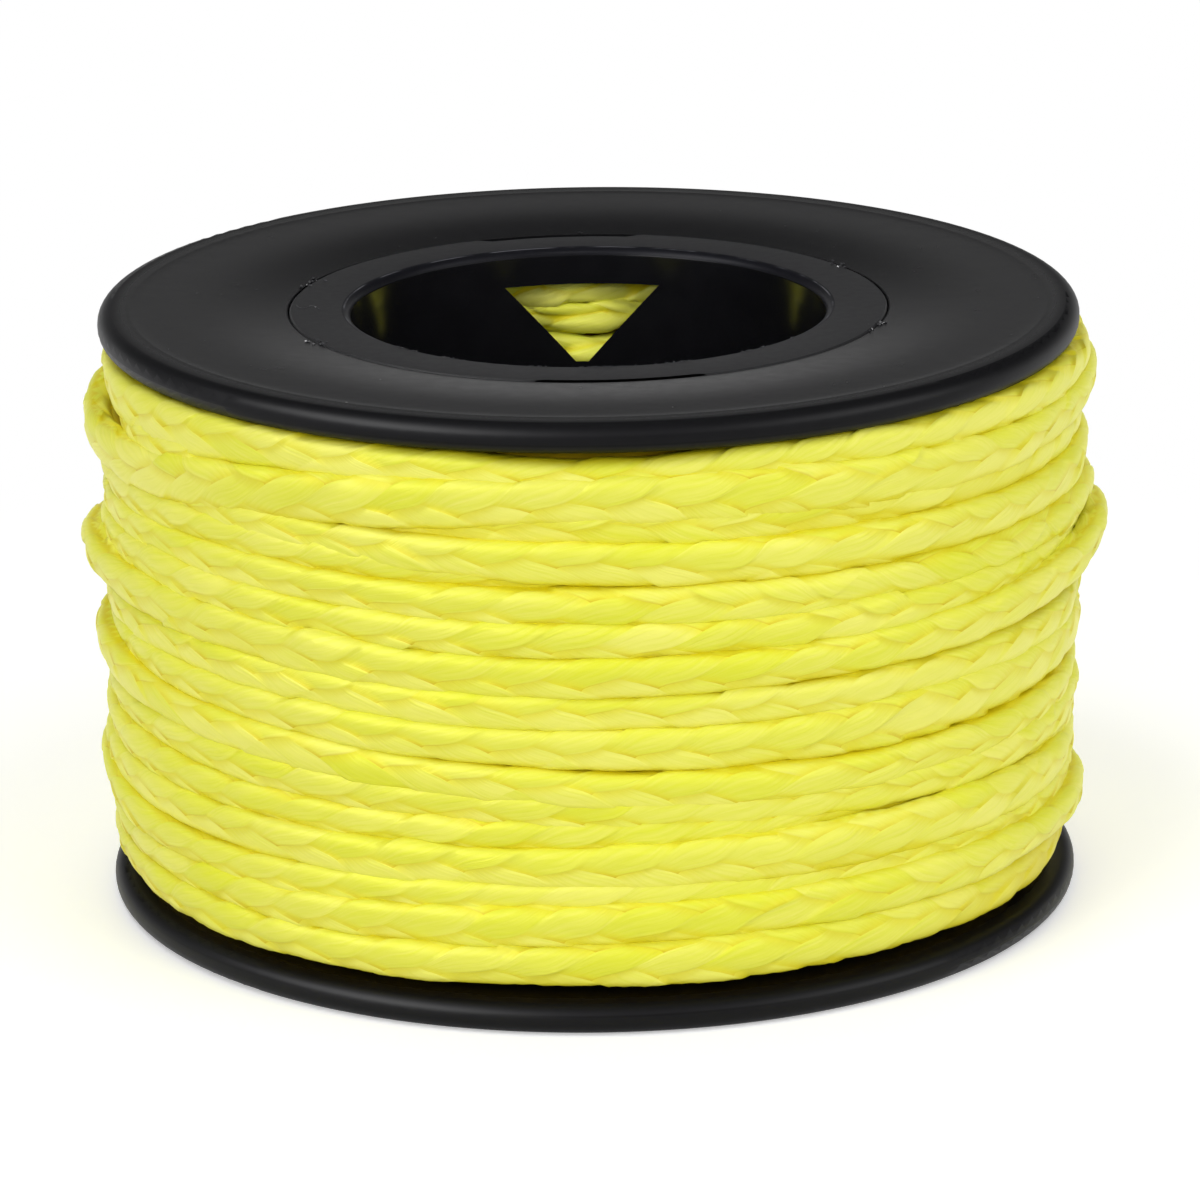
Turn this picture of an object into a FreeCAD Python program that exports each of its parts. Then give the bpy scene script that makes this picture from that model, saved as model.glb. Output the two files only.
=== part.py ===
import FreeCAD, Part
import math
import os

# Spool of braided cord. Millimetres, +Z up along the spool's axis. The origin is the
# centre of the plane that the lower rim stands on, and -Y is the side seen from the front.

# Spool overall
flange_radius = 33.0          # outside of both flanges
spool_height = 40.7           # over the two rims
bore_radius = 16.0            # through hole for a spindle
hub_wall = 2.2                # wall of the hub tube under the winding

# Flange plates, thinner at the rim, and dished outwards so that they stand on the rim
rim_thickness = 2.0
root_thickness = 2.5
dish_depth = 0.6              # centre of a flange lies this far behind its rim
rim_land = 1.2                # width of the flat ring on the rim that the spool stands on
rim_round = 0.93              # both edges of the rim

# End rings, each a flat head let into its flange and a spigot standing on the hub tube
ring_width = 4.15             # from the bore to the outer edge of the head
ring_head = 1.1               # thickness of the head
ring_proud = 0.05             # the head stands out of its seat by this much
ring_edge = 0.12              # bevel on the head's outer edge
spigot_wall = 1.2
seat_gap = 0.08               # open seam between an end ring and its flange
bore_edge_round = 0.7         # mouth of the bore, on the end rings

# Notches in the upper end of the hub tube, wide at the end and closed by the end ring
window_count = 3
window_width = 10.7
window_height = 5.6
window_tip = 0.9              # flat width at the bottom of a notch
window_turn = 1.6             # degrees from +Y to the first notch, towards -X
window_reach = 1.0            # how far the cutter runs past each side of the wall

# Cord
cord_diameter = 2.5
winding_radius = 32.7         # crests of the outer turns
ridge_depth = 0.6             # crest to valley between two turns
outer_turns = 17              # turns in the outer layer
sealed_tip = 1.6              # length of the melted end of the cord
tip_neck = 0.35               # the melted end narrows to this much less than the cord's radius
arc_share = 0.45              # share of the shorter run beside a corner that its arc takes

# Centre line of the free end, from where it leaves the lowest turn to its melted tip.
# Each point is degrees round from the front towards +X, lift above the crests, height.
free_end_route = [
    (112, -0.7, 4.6),
    (124, 0.4, 5.6),
    (138, 1.1, 8.0),
    (153, 1.3, 10.9),
    (168, 1.3, 13.7),
    (183, 1.2, 16.2),
    (197, 0.7, 18.3),
    (208, 0.4, 19.6),
    (217, 0.8, 20.5),
    (225, 1.2, 21.0),
]

hub_radius = bore_radius + hub_wall
ring_radius = bore_radius + ring_width
spigot_radius = bore_radius + spigot_wall
seat_radius = ring_radius + seat_gap
lip_radius = spigot_radius + seat_gap
rim_inner_radius = flange_radius - rim_round
face_height = dish_depth - ring_proud
seat_height = face_height + ring_head
hub_start = dish_depth + root_thickness
hub_length = spool_height - 2 * hub_start
middle_height = spool_height / 2
full_turn = 360.0


def point(radius, height):
    return FreeCAD.Vector(radius, 0, height)


def line(start, end):
    return Part.LineSegment(point(*start), point(*end)).toShape()


def quarter(start, centre, end, radius):
    """Arc of a rounded edge, from start to end about centre."""
    middle = (point(*start) + point(*end)) / 2 - point(*centre)
    middle.normalize()
    top = point(*centre) + middle * radius
    return Part.Arc(point(*start), top, point(*end)).toShape()


def revolve(edges):
    face = Part.Face(Part.Wire(Part.__sortEdges__(edges)))
    return face.revolve(FreeCAD.Vector(0, 0, 0), FreeCAD.Vector(0, 0, 1), full_turn)


def at_other_end(shape):
    """The same piece at the top of the spool."""
    return shape.mirror(FreeCAD.Vector(0, 0, middle_height), FreeCAD.Vector(0, 0, 1))


def chain(corners):
    return [line(start, end) for start, end in zip(corners, corners[1:])]


def flange():
    """Lower flange: a dished plate with a rounded rim and a seat for the end ring."""
    land_start = (rim_inner_radius - rim_land, 0)
    land_end = (rim_inner_radius, 0)
    low_side = (flange_radius, rim_round)
    high_side = (flange_radius, rim_thickness - rim_round)
    inner_rim = (rim_inner_radius, rim_thickness)
    centre_low = (rim_inner_radius, rim_round)
    centre_high = (rim_inner_radius, rim_thickness - rim_round)
    plate = chain([
        inner_rim,
        (hub_radius, hub_start),
        (lip_radius, hub_start),
        (lip_radius, seat_height),
        (seat_radius, seat_height),
        (seat_radius, dish_depth),
        land_start,
        land_end,
    ])
    rim = [
        quarter(land_end, centre_low, low_side, rim_round),
        line(low_side, high_side),
        quarter(high_side, centre_high, inner_rim, rim_round),
    ]
    return revolve(plate + rim)


def end_ring():
    """Lower end ring: it clamps the flange's lip against the end of the hub tube."""
    mouth = (bore_radius, face_height + bore_edge_round)
    mouth_edge = (bore_radius + bore_edge_round, face_height)
    mouth_centre = (bore_radius + bore_edge_round, face_height + bore_edge_round)
    outline = chain([
        mouth_edge,
        (ring_radius - ring_edge, face_height),
        (ring_radius, face_height + ring_edge),
        (ring_radius, seat_height),
        (spigot_radius, seat_height),
        (spigot_radius, hub_start),
        (bore_radius, hub_start),
        mouth,
    ])
    return revolve(outline + [quarter(mouth, mouth_centre, mouth_edge, bore_edge_round)])


def window_cutter():
    """Prism for one notch, open towards the end of the hub tube, on the +Y side."""
    end_height = hub_start + hub_length
    tip_height = end_height - window_height
    slope = (window_width - window_tip) / window_height
    over = window_reach
    near = bore_radius - hub_wall - over
    depth = hub_radius + over - near
    corners = [
        (-window_tip / 2, tip_height),
        (window_tip / 2, tip_height),
        (window_width / 2 + slope * over / 2, end_height + over),
        (-window_width / 2 - slope * over / 2, end_height + over),
    ]
    outline = [FreeCAD.Vector(x, near, z) for x, z in corners]
    face = Part.Face(Part.makePolygon(outline + outline[:1]))
    return face.extrude(FreeCAD.Vector(0, depth, 0))


def hub_tube():
    foot = FreeCAD.Vector(0, 0, hub_start)
    tube = Part.makeCylinder(hub_radius, hub_length, foot)
    tube = tube.cut(Part.makeCylinder(bore_radius, hub_length, foot))
    for index in range(window_count):
        cutter = window_cutter()
        turn = window_turn + index * full_turn / window_count
        cutter.rotate(FreeCAD.Vector(0, 0, 0), FreeCAD.Vector(0, 0, 1), turn)
        tube = tube.cut(cutter)
    return tube


def inner_face_height(radius):
    """Height of the lower flange's inner face at a radius outside the hub tube."""
    share = (radius - hub_radius) / (rim_inner_radius - hub_radius)
    return hub_start + share * (rim_thickness - hub_start)


def winding():
    """Outer shape of the wound cord: one ridge for each turn of the outer layer."""
    valley_radius = winding_radius - ridge_depth
    low = inner_face_height(valley_radius)
    high = spool_height - low
    pitch = (high - low) / outer_turns
    edges = chain([
        (valley_radius, high),
        (hub_radius, spool_height - hub_start),
        (hub_radius, hub_start),
        (valley_radius, low),
    ])
    for turn in range(outer_turns):
        start = low + turn * pitch
        edges.append(Part.Arc(
            point(valley_radius, start),
            point(winding_radius, start + pitch / 2),
            point(valley_radius, start + pitch),
        ).toShape())
    return revolve(edges)


def rounded_path(route):
    """Straight runs between the points, joined by tangent arcs as large as the runs allow."""
    edges = []
    radii = []
    start = route[0]
    for before, corner, after in zip(route, route[1:], route[2:]):
        back = before - corner
        ahead = after - corner
        reach = arc_share * min(back.Length, ahead.Length)
        back.normalize()
        ahead.normalize()
        half_turn = (math.pi - back.getAngle(ahead)) / 2
        radius = reach / math.tan(half_turn)
        inward = back + ahead
        inward.normalize()
        middle = corner + inward * (radius / math.cos(half_turn) - radius)
        arc_start = corner + back * reach
        arc_end = corner + ahead * reach
        edges.append(Part.LineSegment(start, arc_start).toShape())
        edges.append(Part.Arc(arc_start, middle, arc_end).toShape())
        radii.append(round(radius, 1))
        start = arc_end
    edges.append(Part.LineSegment(start, route[-1]).toShape())
    return Part.Wire(edges), radii


def free_end(wound):
    """The loose end of the cord, lying over the outer layer, with its melted tip."""
    route = []
    for degrees, lift, height in free_end_route:
        angle = math.radians(degrees)
        radius = winding_radius + lift
        route.append(FreeCAD.Vector(radius * math.sin(angle), -radius * math.cos(angle), height))
    path, radii = rounded_path(route)
    section = Part.makeCircle(cord_diameter / 2, route[0], route[1] - route[0])
    tube = path.makePipeShell([Part.Wire(section)], True, False)
    runs = [round((b - a).Length, 2) for a, b in zip(route, route[1:])]
    swept = math.pi * (cord_diameter / 2) ** 2 * path.Length
    print("free end: runs", runs, "radii", radii, "volume over section times length",
          round(tube.Volume / swept, 4))
    out = route[-1] - route[-2]
    tip = Part.makeCone(cord_diameter / 2, cord_diameter / 2 - tip_neck, sealed_tip, route[-1], out)
    return tube.fuse(tip).removeSplitter().cut(wound)


lower_flange = flange()
lower_ring = end_ring()
wound_cord = winding()
pieces = {
    "hub_tube": hub_tube(),
    "bottom_flange": lower_flange,
    "top_flange": at_other_end(lower_flange),
    "bottom_end_ring": lower_ring,
    "top_end_ring": at_other_end(lower_ring),
    "cord_winding": wound_cord,
    "cord_free_end": free_end(wound_cord),
}

os.makedirs("parts", exist_ok=True)
for name, shape in pieces.items():
    shape.exportStep("parts/" + name + ".step")
    box = shape.BoundBox
    print(name, len(shape.Solids), shape.isValid(), round(shape.Volume, 1),
          [round(v, 2) for v in (box.XMin, box.YMin, box.ZMin, box.XMax, box.YMax, box.ZMax)])
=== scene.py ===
import math

import bmesh
import bpy
import numpy as np
from mathutils import Euler, Matrix, Vector


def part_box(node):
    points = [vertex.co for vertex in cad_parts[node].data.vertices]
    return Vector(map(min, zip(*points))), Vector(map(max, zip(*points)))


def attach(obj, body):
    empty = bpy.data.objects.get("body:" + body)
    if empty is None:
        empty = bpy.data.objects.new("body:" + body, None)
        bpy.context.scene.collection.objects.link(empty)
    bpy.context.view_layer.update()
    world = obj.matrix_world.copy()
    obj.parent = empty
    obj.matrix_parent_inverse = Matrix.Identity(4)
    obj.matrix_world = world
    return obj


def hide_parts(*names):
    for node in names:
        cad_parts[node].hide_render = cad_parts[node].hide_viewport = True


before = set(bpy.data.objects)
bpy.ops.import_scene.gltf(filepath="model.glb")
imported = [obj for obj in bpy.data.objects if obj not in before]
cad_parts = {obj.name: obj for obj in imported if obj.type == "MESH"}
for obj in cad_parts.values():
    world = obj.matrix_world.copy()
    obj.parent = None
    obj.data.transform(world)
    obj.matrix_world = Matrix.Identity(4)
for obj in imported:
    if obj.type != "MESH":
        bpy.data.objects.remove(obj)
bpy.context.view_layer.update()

MM = 0.001

# Sizes read from the frame. Lengths are in millimetres unless a comment says otherwise.
HUB_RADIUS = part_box("hub_tube")[1][0] / MM
FLANGE_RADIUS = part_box("top_flange")[1][0] / MM
SPOOL_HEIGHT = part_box("top_flange")[1][2] / MM
HUB_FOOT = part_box("hub_tube")[0][2] / MM
HUB_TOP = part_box("hub_tube")[1][2] / MM
RING_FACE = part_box("top_end_ring")[1][2] / MM
CREST_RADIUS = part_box("cord_winding")[1][0] / MM
WINDING_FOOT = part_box("cord_winding")[0][2] / MM

# The photograph's camera
IMAGE_SIZE = 1200
CAMERA_ELEVATION = math.radians(16.74)
CAMERA_DISTANCE = 448.4
CAMERA_ROLL = math.radians(0.67)
AIM_HEIGHT = 20.0
FOCAL_PIXELS = 6574.0
AXIS_PIXEL = (591.6, 591.1)
SENSOR_WIDTH = 36.0

# Studio: lamps with place and size in metres and power in watts. Reflections don't show them.
AMBIENT = 0.36
LAMPS = [
    ("key", (-0.44, -0.62, 0.36), (0.6, 0.4), 1.82),
    ("fill", (0.62, -0.50, 0.30), (0.6, 0.4), 1.86),
    ("back", (0.15, 0.85, 0.45), (0.6, 0.4), 1.3),
    ("overhead_left", (-0.20, -0.22, 0.75), (0.22, 0.18), 1.08),
    ("overhead_right", (0.30, -0.20, 0.73), (0.30, 0.26), 0.75),
]
LAMP_AIM = (0, 0, 0.02)
BORE_LAMP = ((0.04, -0.28, 0.35), (0.0, 0.017, 0.036), 1.7)  # narrow lamp: place, aim and power
BORE_BEAM = math.radians(4.2)
BORE_LAMP_SIZE = 0.006  # metres
FLOOR_LIFT = 0.35  # light that the floor adds where it is seen
FLOOR_FADE = (0.045, 0.11)  # metres from the axis where it turns plain white

# What reflections see beyond the floor: degrees above the horizon and level. The bands in front
# show to the left and right, and faintly elsewhere.
BANDS_BEHIND = [(0, 0.85), (6, 0.6), (10, 0.36), (16.5, 0.085), (23, 0.03), (40, 0.03), (60, 0.3)]
BANDS_IN_FRONT = [(0, 0.3), (8, 1.5), (16, 12.0), (38, 12.0), (50, 4.0), (75, 1.5), (85, 0.4)]
LEFT_SIDE = [(-0.25, -0.5), (-0.94, -0.8)]
RIGHT_SIDE = (0.4, 0.95)
RIGHT_LEVEL = 0.35
MIDDLE_LEVEL = 0.1

# Cord
CORD_DIAMETER = 2.5
CORD_LENGTH = 15240.0
SQUARENESS = 3.0  # 2 is an ellipse, more is a squarer section
SECTION_PRODUCT = 0.93 * CORD_DIAMETER ** 2 / 4  # product of the half axes of a squashed section
HALF_HEIGHTS = (1.3, 1.7)  # least and most for an outer turn
INNER_SECTION = (1.07, 1.2)  # half height and half depth in the hidden layers
END_SECTION = (1.38, 1.13)  # the same for the free end
SECTION_TILT = math.radians(11)  # each outer turn leans over the one below it
TIP_LENGTH = 1.6  # melted end
TIP_GIRTH = 0.86
GRID = 0.5  # degrees between the points of a layer's line
COARSE_STEP = 3.4  # length of a face where the cord is hidden
COARSE_SIDES = 8

# Braid
BRAID_LAY = 18.0  # one turn of a yarn round the cord
YARNS = 4  # each way round the cord
WEAVE = 4  # yarn widths in which a yarn goes over two others and under two
YARN_LINES = (0.0, 0.07, 0.28, 0.5, 0.72, 0.93)  # places of the mesh lines across a yarn
SEAM_GIRTH = -0.04  # place of the first seam round the cord, in girths
YARN_THICKNESS = 0.07
YARN_RISE = 0.165
YARN_LEAN = 0.03
HUB_RELIEF = 3.2  # the braid stands out more on the first turns
TOOTH_EASE = 0.02  # share of the girth by which the seams' teeth are eased
EDGE_WANDER = (4, 0.09)  # length and size of the strays of a yarn's edges
SEAM_ROLL = (90, 0.075, 5)  # length, size in girths and seed of the seams' slow roll
LUMPS = [(7, 0.04, 6), (3, 0.02, 8)]  # the same for lumps all round and on the flanks
ON_HUB = 2.5  # a centre line this near the hub belongs to the first layer
FLANK_DEPTH = 1.4  # weights in the depth value, which sets the painted shade on the braid
CREVICE_DEPTH = (0.3, 7)
TINY = 1e-6

# Layers
LAYERS = 6
INNER_LAST = 29.6  # centre line of the last hidden layer
TAIL_LENGTH = 68.0  # free end and what leads to it
OUTER_TOP = 38.6  # upper edge of the outer layer, under the flange
OUTER_FOOT = 3.1
VALLEY_RADIUS = 32.45  # where neighbouring outer turns meet, at the front
VALLEY_OVAL = 0.3  # added at the sides
SURFACE_RISE = 0.25  # surface of the winding above its valleys
SUNK_DEPTH = 0.8  # how far a covered turn sinks in
TOP_DIP = (0.0, 16.0, 0.65)  # the top turn sags there: degrees, half width, depth
FADE_DEGREES = 60  # the first outer turn takes its shape over these
INNER_BLUR = 16  # degrees over which changes of layer are smoothed
OUTER_BLUR = 2
RADIUS_WOBBLE = [(14, 0.06, 3), (47, 0.10, 13)]  # length, size and seed of each wobble
HEIGHT_WOBBLE = [(17, 0.07, 4), (41, 0.10, 14)]

# Visible height of each turn of the outer layer, from the top turn to the lowest one, at the
# stations below. A turn with none lies under its neighbours there.
STATIONS = (-60, -30, 0, 30, 60)  # degrees round from the front towards +X
TURN_HEIGHTS = [
    (3.7, 1.8, 1.0, 1.4, 2.4),
    (3.1, 3.4, 3.3, 3.1, 3.1),
    (0.0, 0.0, 1.3, 1.4, 1.0),
    (0.0, 2.1, 3.1, 2.7, 2.9),
    (1.7, 0.9, 0.15, 0.0, 0.0),
    (1.9, 2.4, 2.2, 2.7, 2.2),
    (2.1, 2.3, 2.1, 2.0, 1.5),
    (2.9, 3.0, 2.6, 2.4, 3.0),
    (1.6, 1.8, 2.4, 2.3, 2.1),
    (2.5, 2.3, 2.7, 3.2, 3.2),
    (2.4, 2.2, 2.2, 2.4, 2.2),
    (2.0, 2.2, 1.7, 1.6, 2.2),
    (2.5, 1.7, 1.2, 0.0, 0.0),
    (2.5, 2.7, 2.9, 3.6, 3.0),
    (2.5, 1.4, 0.8, 0.7, 1.0),
    (1.4, 2.8, 2.7, 2.8, 2.7),
    (2.6, 2.3, 3.0, 3.0, 3.0),
]
BACK_STATIONS = (120, 180, 240)
BACK_HEIGHT = (2.15, 0.3)  # mean and spread of the heights there
STATION_BLUR = 14  # degrees
LAST_STATION = (0.16, 1.2)  # share of a turn before the layer's end, and height

# Where a slack turn stands off the winding: turn, degrees, lift, rise and half length in degrees
SLACK = [
    (0, -92, -0.3, -0.3, 30), (1, -92, 0.95, -1.05, 36),
    (7, -92, 1.3, 0.75, 26), (10, -92, 0.65, 0.6, 24),
    (14, -92, 0.45, 0.7, 24), (16, -72, -0.5, 0.0, 40),
    (0, 94, 0.5, -0.2, 26), (1, 96, 1.3, 0.2, 22),
    (2, 92, 0.5, 0.0, 26), (3, 92, 0.5, 0.0, 26),
    (5, 92, 0.9, 0.6, 24), (7, 92, 1.8, 2.0, 30),
    (8, 92, 0.0, 0.4, 26), (13, 92, -0.5, 0.0, 22),
    (15, 95, 0.3, 0.0, 22), (16, 74, -0.8, 0.0, 42),
]

# Where inner turns fill the gap beside a slack one: degrees, half width, height, climb in
# millimetres per degree, half height and lift. They show only beyond the radius below.
INNER_BULGES = [(-74, 44, 33.9, 0.07, 1.8, 2.45), (92, 36, 22.9, 0.0, 1.5, 1.7)]
BULGE_RADIUS = 29

# Cells in which the winding's surface is smoothed: degrees, height, and how often
CELL = (0.5, 0.2)
CELL_ROWS = 210
CELL_PASSES = 24

# Where a turn is twisted: turn, degrees, twist in girths and half length in degrees
TWIST = [(1, -76, -0.24, 50), (10, -20, 0.12, 60), (5, 30, -0.1, 50)]

# How far the braid's seams swing round the cord as it goes round the spool, in shares of the girth
SWING_DEGREES = (5, 50, 120, 200)
SWING_GIRTH = (0.0, -0.2, -0.2, 0.0)

# Free end, as in the part: degrees round from the front, lift above the crests, height
FREE_END = [
    (112, -0.7, 4.6), (124, 0.4, 5.6),
    (138, 1.1, 8.0), (153, 1.3, 10.9),
    (168, 1.3, 13.7), (183, 1.2, 16.2),
    (197, 0.7, 18.3), (208, 0.4, 19.6),
    (217, 0.8, 20.5), (225, 1.2, 21.0),
]

# Windows in the hub's upper end, as in the part. Seen from inside, their edges open outwards.
WINDOW_COUNT = 3
WINDOW_WIDTH = 10.7
WINDOW_HEIGHT = 5.6
WINDOW_TIP = 0.9
WINDOW_TURN = 1.6  # degrees of the first one from the back
WINDOW_FLARE = 1.6
WINDOW_PRESS = (1.3, 9)  # the first turns press into them: depth, degrees
WINDOW_VIEW = (26, 21.5, 29)  # braid seen there: degrees, radius and height
HUB_WALL = 2.2

# End rings, as in the part but for the outer edge and the mouth of the bore
BORE_RADIUS = 16.0
RING_RADIUS = 20.12
RING_HEAD = 1.1
RING_EDGE = 0.12
RING_ROUND = 0.6
SPIGOT_WALL = 1.2
SEAM_OPEN = (0.24, 0.62)  # how far the seam gapes at the front and at the back
SEAM_CENTRE = 6.0  # degrees round from the front, and again from the back
SEAM_HALF = 16.5
SEAM_FADE = 2.5  # degrees over which it opens
SEAM_RADIUS = 20.19  # middle of the closed seam
BORE_EDGE = 16.45  # outer edge of the bore's mouth

# Weld flash on the seam round the top end ring, in degrees from the front, and a fine curl of it
FLASH_PLACES = (-110, -63, 72, 119)
CRUMBS_EACH = 9
CURL_PLACE = (-92, 19.7)
CURL_SIZE = 0.06

# Slope of the flange's face: radius, and degrees added to the part's own slope
FACE_SLOPES = [(20.2, 0.9), (21.5, 1.0), (23.0, 0.6), (24.5, -0.5), (26.0, -1.8), (27.5, -2.7),
               (29.0, -2.9), (30.4, -2.6), (30.8, -1.6), (30.9, 0.6), (31.6, 0.3), (32.0, 0.0)]

# Marks on the plastic, painted shade in the seam and a painted highlight on the bore's mouth
MARK_HALF_WIDTH = 0.16
MARK_AND_SHADE_COLOUR = (0.0015, 0.0015, 0.0018)
PARTING_DEPTH = 1.35  # the mould's parting line, below the rim's top
PARTING_HALF_WIDTH = 0.1
PARTING_FROM = (0.0326, 0.0328)  # radius in metres from where it shows
LAND_EDGE = 31.0  # inner edge of the flat land on the rim
RIM_FROM = (0.0312, 0.0322)  # radius in metres from where the rim is duller
RIM_ROUGHNESS = 0.42
# Painted shade in the open seam round the end rings
SEAM_SHADE_COLOUR = (0.001, 0.001, 0.001)
# Painted highlight: a fine pale line along the edge of the bore's mouth
MOUTH_HIGHLIGHT_HALF_WIDTH = 0.07
MOUTH_HIGHLIGHT_COLOUR = (0.09, 0.09, 0.10)
DUST_COLOUR = (0.16, 0.16, 0.15)

# Plastic finishes, and a matte near-black one that paints shade in the open seam: colour, roughness,
# specular level, and scale and depth in metres of the grain
PLASTICS = {
    "flange_plastic": ((0.0045, 0.0045, 0.0052), 0.25, 0.12, 900.0, 0.00002),
    "ring_plastic": ((0.014, 0.014, 0.015), 0.45, 0.25, 1500.0, 0.00003),
    "hub_plastic": ((0.006, 0.006, 0.007), 0.16, 0.45, 500.0, 0.00001),
    "mouth_plastic": ((0.006, 0.006, 0.008), 0.38, 0.06, 1500.0, 0.00002),
    # Painted shade on the ring's faces inside the open seam
    "seam_plastic": (SEAM_SHADE_COLOUR, 0.9, 0.0, 900.0, 0.00002),
    "flash_plastic": ((0.03, 0.03, 0.033), 0.3, 0.5, 900.0, 0.00002),
}

# Cord colours: two for the yarns, then tints of painted shade where they lie lower, and the melted tip's
# own colour
YARN_COLOURS = [(0.80, 0.82, 0.034, 1), (0.94, 0.91, 0.18, 1)]
TINTS = {
    "tuck": (0.82, 0.74, 0.02),
    "side": (0.72, 0.56, 0.008),
    "crease": (0.68, 0.52, 0.006),
    "flank": (0.78, 0.68, 0.012),
    "deep": (0.55, 0.33, 0.006),
    "cavity": (0.56, 0.38, 0.005),
    "melted": (0.30, 0.16, 0.02),
}


def add_object(name, data):
    obj = bpy.data.objects.new(name, data)
    bpy.context.scene.collection.objects.link(obj)
    return obj


def around(degrees, radius, height):
    """Points at those degrees round from the front, distances from the axis and heights."""
    angle = np.radians(degrees)
    places = np.broadcast_arrays(radius * np.sin(angle), -radius * np.cos(angle), height)
    return np.stack(places, axis=-1)


def from_axis(points):
    return np.hypot(points[..., 0], points[..., 1])


def points_at(places, line, along):
    """Points at distances along a line."""
    return np.stack([np.interp(places, along, column) for column in line.T], axis=-1)


def smooth_noise(places, wave, size, seed):
    """Even random curve of about the given size, with no detail shorter than wave."""
    rng = np.random.default_rng(seed)
    knots = np.arange(np.min(places) - 2 * wave, np.max(places) + 3 * wave, wave)
    values = rng.normal(0.0, size, len(knots))
    step = np.floor((places - knots[0]) / wave).astype(int)
    t = (places - knots[0]) / wave - step
    t = t * t * (3 - 2 * t)
    return values[step] * (1 - t) + values[step + 1] * t


def gaussian(values, sigma):
    """Values smoothed along an even grid; sigma is in grid steps."""
    reach = int(3 * sigma) + 1
    kernel = np.exp(-0.5 * (np.arange(-reach, reach + 1) / sigma) ** 2)
    padded = np.pad(values, reach, mode="edge")
    return np.convolve(padded, kernel / kernel.sum(), mode="valid")


def near(degrees, turn, at, reach):
    """1 at a place on a turn of the outer layer, a quarter at reach degrees from it."""
    return np.exp(-0.5 * ((degrees - turn * 360 - at) / (0.6 * reach)) ** 2)


def half_height(visible):
    """Half of a turn's size along the spool's axis, from how much of it shows."""
    return np.clip(0.5 * visible + 0.12, *HALF_HEIGHTS)


def shoulder(visible):
    """How far a turn's surface stands above its centre line where its neighbour covers it."""
    tall = half_height(visible)
    deep = SECTION_PRODUCT / tall
    share = np.clip(0.5 * visible / tall, 0, 1)
    return deep * (1 - share ** SQUARENESS) ** (1 / SQUARENESS)


def valley_radius(degrees):
    """Radius at which neighbouring outer turns meet. The winding is a little oval."""
    return VALLEY_RADIUS + VALLEY_OVAL * np.sin(np.radians(degrees)) ** 2


def lowest_centre(radius, tall):
    """Height of the centre line of a turn that lies on the lower flange."""
    share = np.clip((radius - HUB_RADIUS) / (FLANGE_RADIUS - HUB_RADIUS), 0, 1)
    return HUB_FOOT + share * (WINDING_FOOT - HUB_FOOT) + tall


def from_window(degrees):
    """Degrees from the nearest of the hub's windows."""
    pitch = 360 / WINDOW_COUNT
    return (degrees - 180 - WINDOW_TURN + pitch / 2) % pitch - pitch / 2


def outer_layer():
    """Centre line and section of the outer layer, from the top flange down to the free end."""
    turns = len(TURN_HEIGHTS)
    places, heights = [0.0], [0.0]
    behind = np.random.default_rng(7).normal(*BACK_HEIGHT, (turns, len(BACK_STATIONS)))
    for turn, seen in enumerate(TURN_HEIGHTS):
        places += [turn + (station + 180) / 360 for station in STATIONS + BACK_STATIONS]
        heights += [*seen, *behind[turn]]
    back = len(BACK_STATIONS)
    places[-back:] = [turns - LAST_STATION[0], float(turns)]
    heights[-back:] = [LAST_STATION[1], 0.0]
    per_turn = int(360 / GRID)
    along = np.arange(turns * per_turn + 1) / per_turn
    visible = np.interp(along, places, heights)
    visible = np.clip(gaussian(visible, STATION_BLUR / GRID), 0, None)
    visible[0] = 0.0
    stack = visible[:-1].reshape(turns, per_turn)
    stack = stack * ((OUTER_TOP - OUTER_FOOT) / stack.sum(axis=0))
    upper = OUTER_TOP - np.cumsum(stack, axis=0) + stack
    height = (upper - stack / 2).ravel()
    shown = stack.ravel()
    degrees = along[:-1] * 360 - 180
    tall = half_height(shown)
    dip = TOP_DIP[2] * np.exp(-((degrees[:per_turn] - TOP_DIP[0]) / TOP_DIP[1]) ** 2)
    height[:per_turn] = np.minimum(height[:per_turn], OUTER_TOP - dip - tall[:per_turn])
    sunk = SUNK_DEPTH * np.clip(1 - shown, 0, 1) ** 2
    radius = valley_radius(degrees) - shoulder(shown) - sunk
    for turn, at, lift, rise, reach in SLACK:
        bump = near(degrees, turn, at, reach)
        radius = radius + lift * bump
        height = height + rise * bump
    keep = degrees <= (turns - 1) * 360 + FREE_END[0][0] - 4
    return [values[keep] for values in (degrees, radius, height, tall, SECTION_PRODUCT / tall)]


def inner_layers():
    """Centre line of the hidden layers, from the lower end of the hub to the outer layer."""
    count = LAYERS - 1
    tall, deep = INNER_SECTION
    first = HUB_RADIUS + deep + 0.05
    outer_angle = math.radians(360 * (len(TURN_HEIGHTS) - 0.2))
    outer_length = outer_angle * (CREST_RADIUS - 1)
    mean_radius = (first + INNER_LAST) / 2
    turns = (CORD_LENGTH - outer_length - TAIL_LENGTH) / (2 * math.pi * mean_radius)
    steps = int(turns * 360 / GRID)
    degrees = -180 - np.arange(steps, 0, -1) * GRID
    share = np.arange(steps) / steps * count
    layer = np.floor(share)
    across = share - layer
    across = np.where(layer % 2 == 0, across, 1 - across)
    across = np.clip(1.12 * across - 0.06, 0, 1)
    radius = first + layer * (INNER_LAST - first) / (count - 1)
    foot = lowest_centre(radius, tall)
    height = foot + across * (SPOOL_HEIGHT - 2 * foot)
    size = np.ones(steps)
    return degrees, radius, height, tall * size, deep * size


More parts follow.
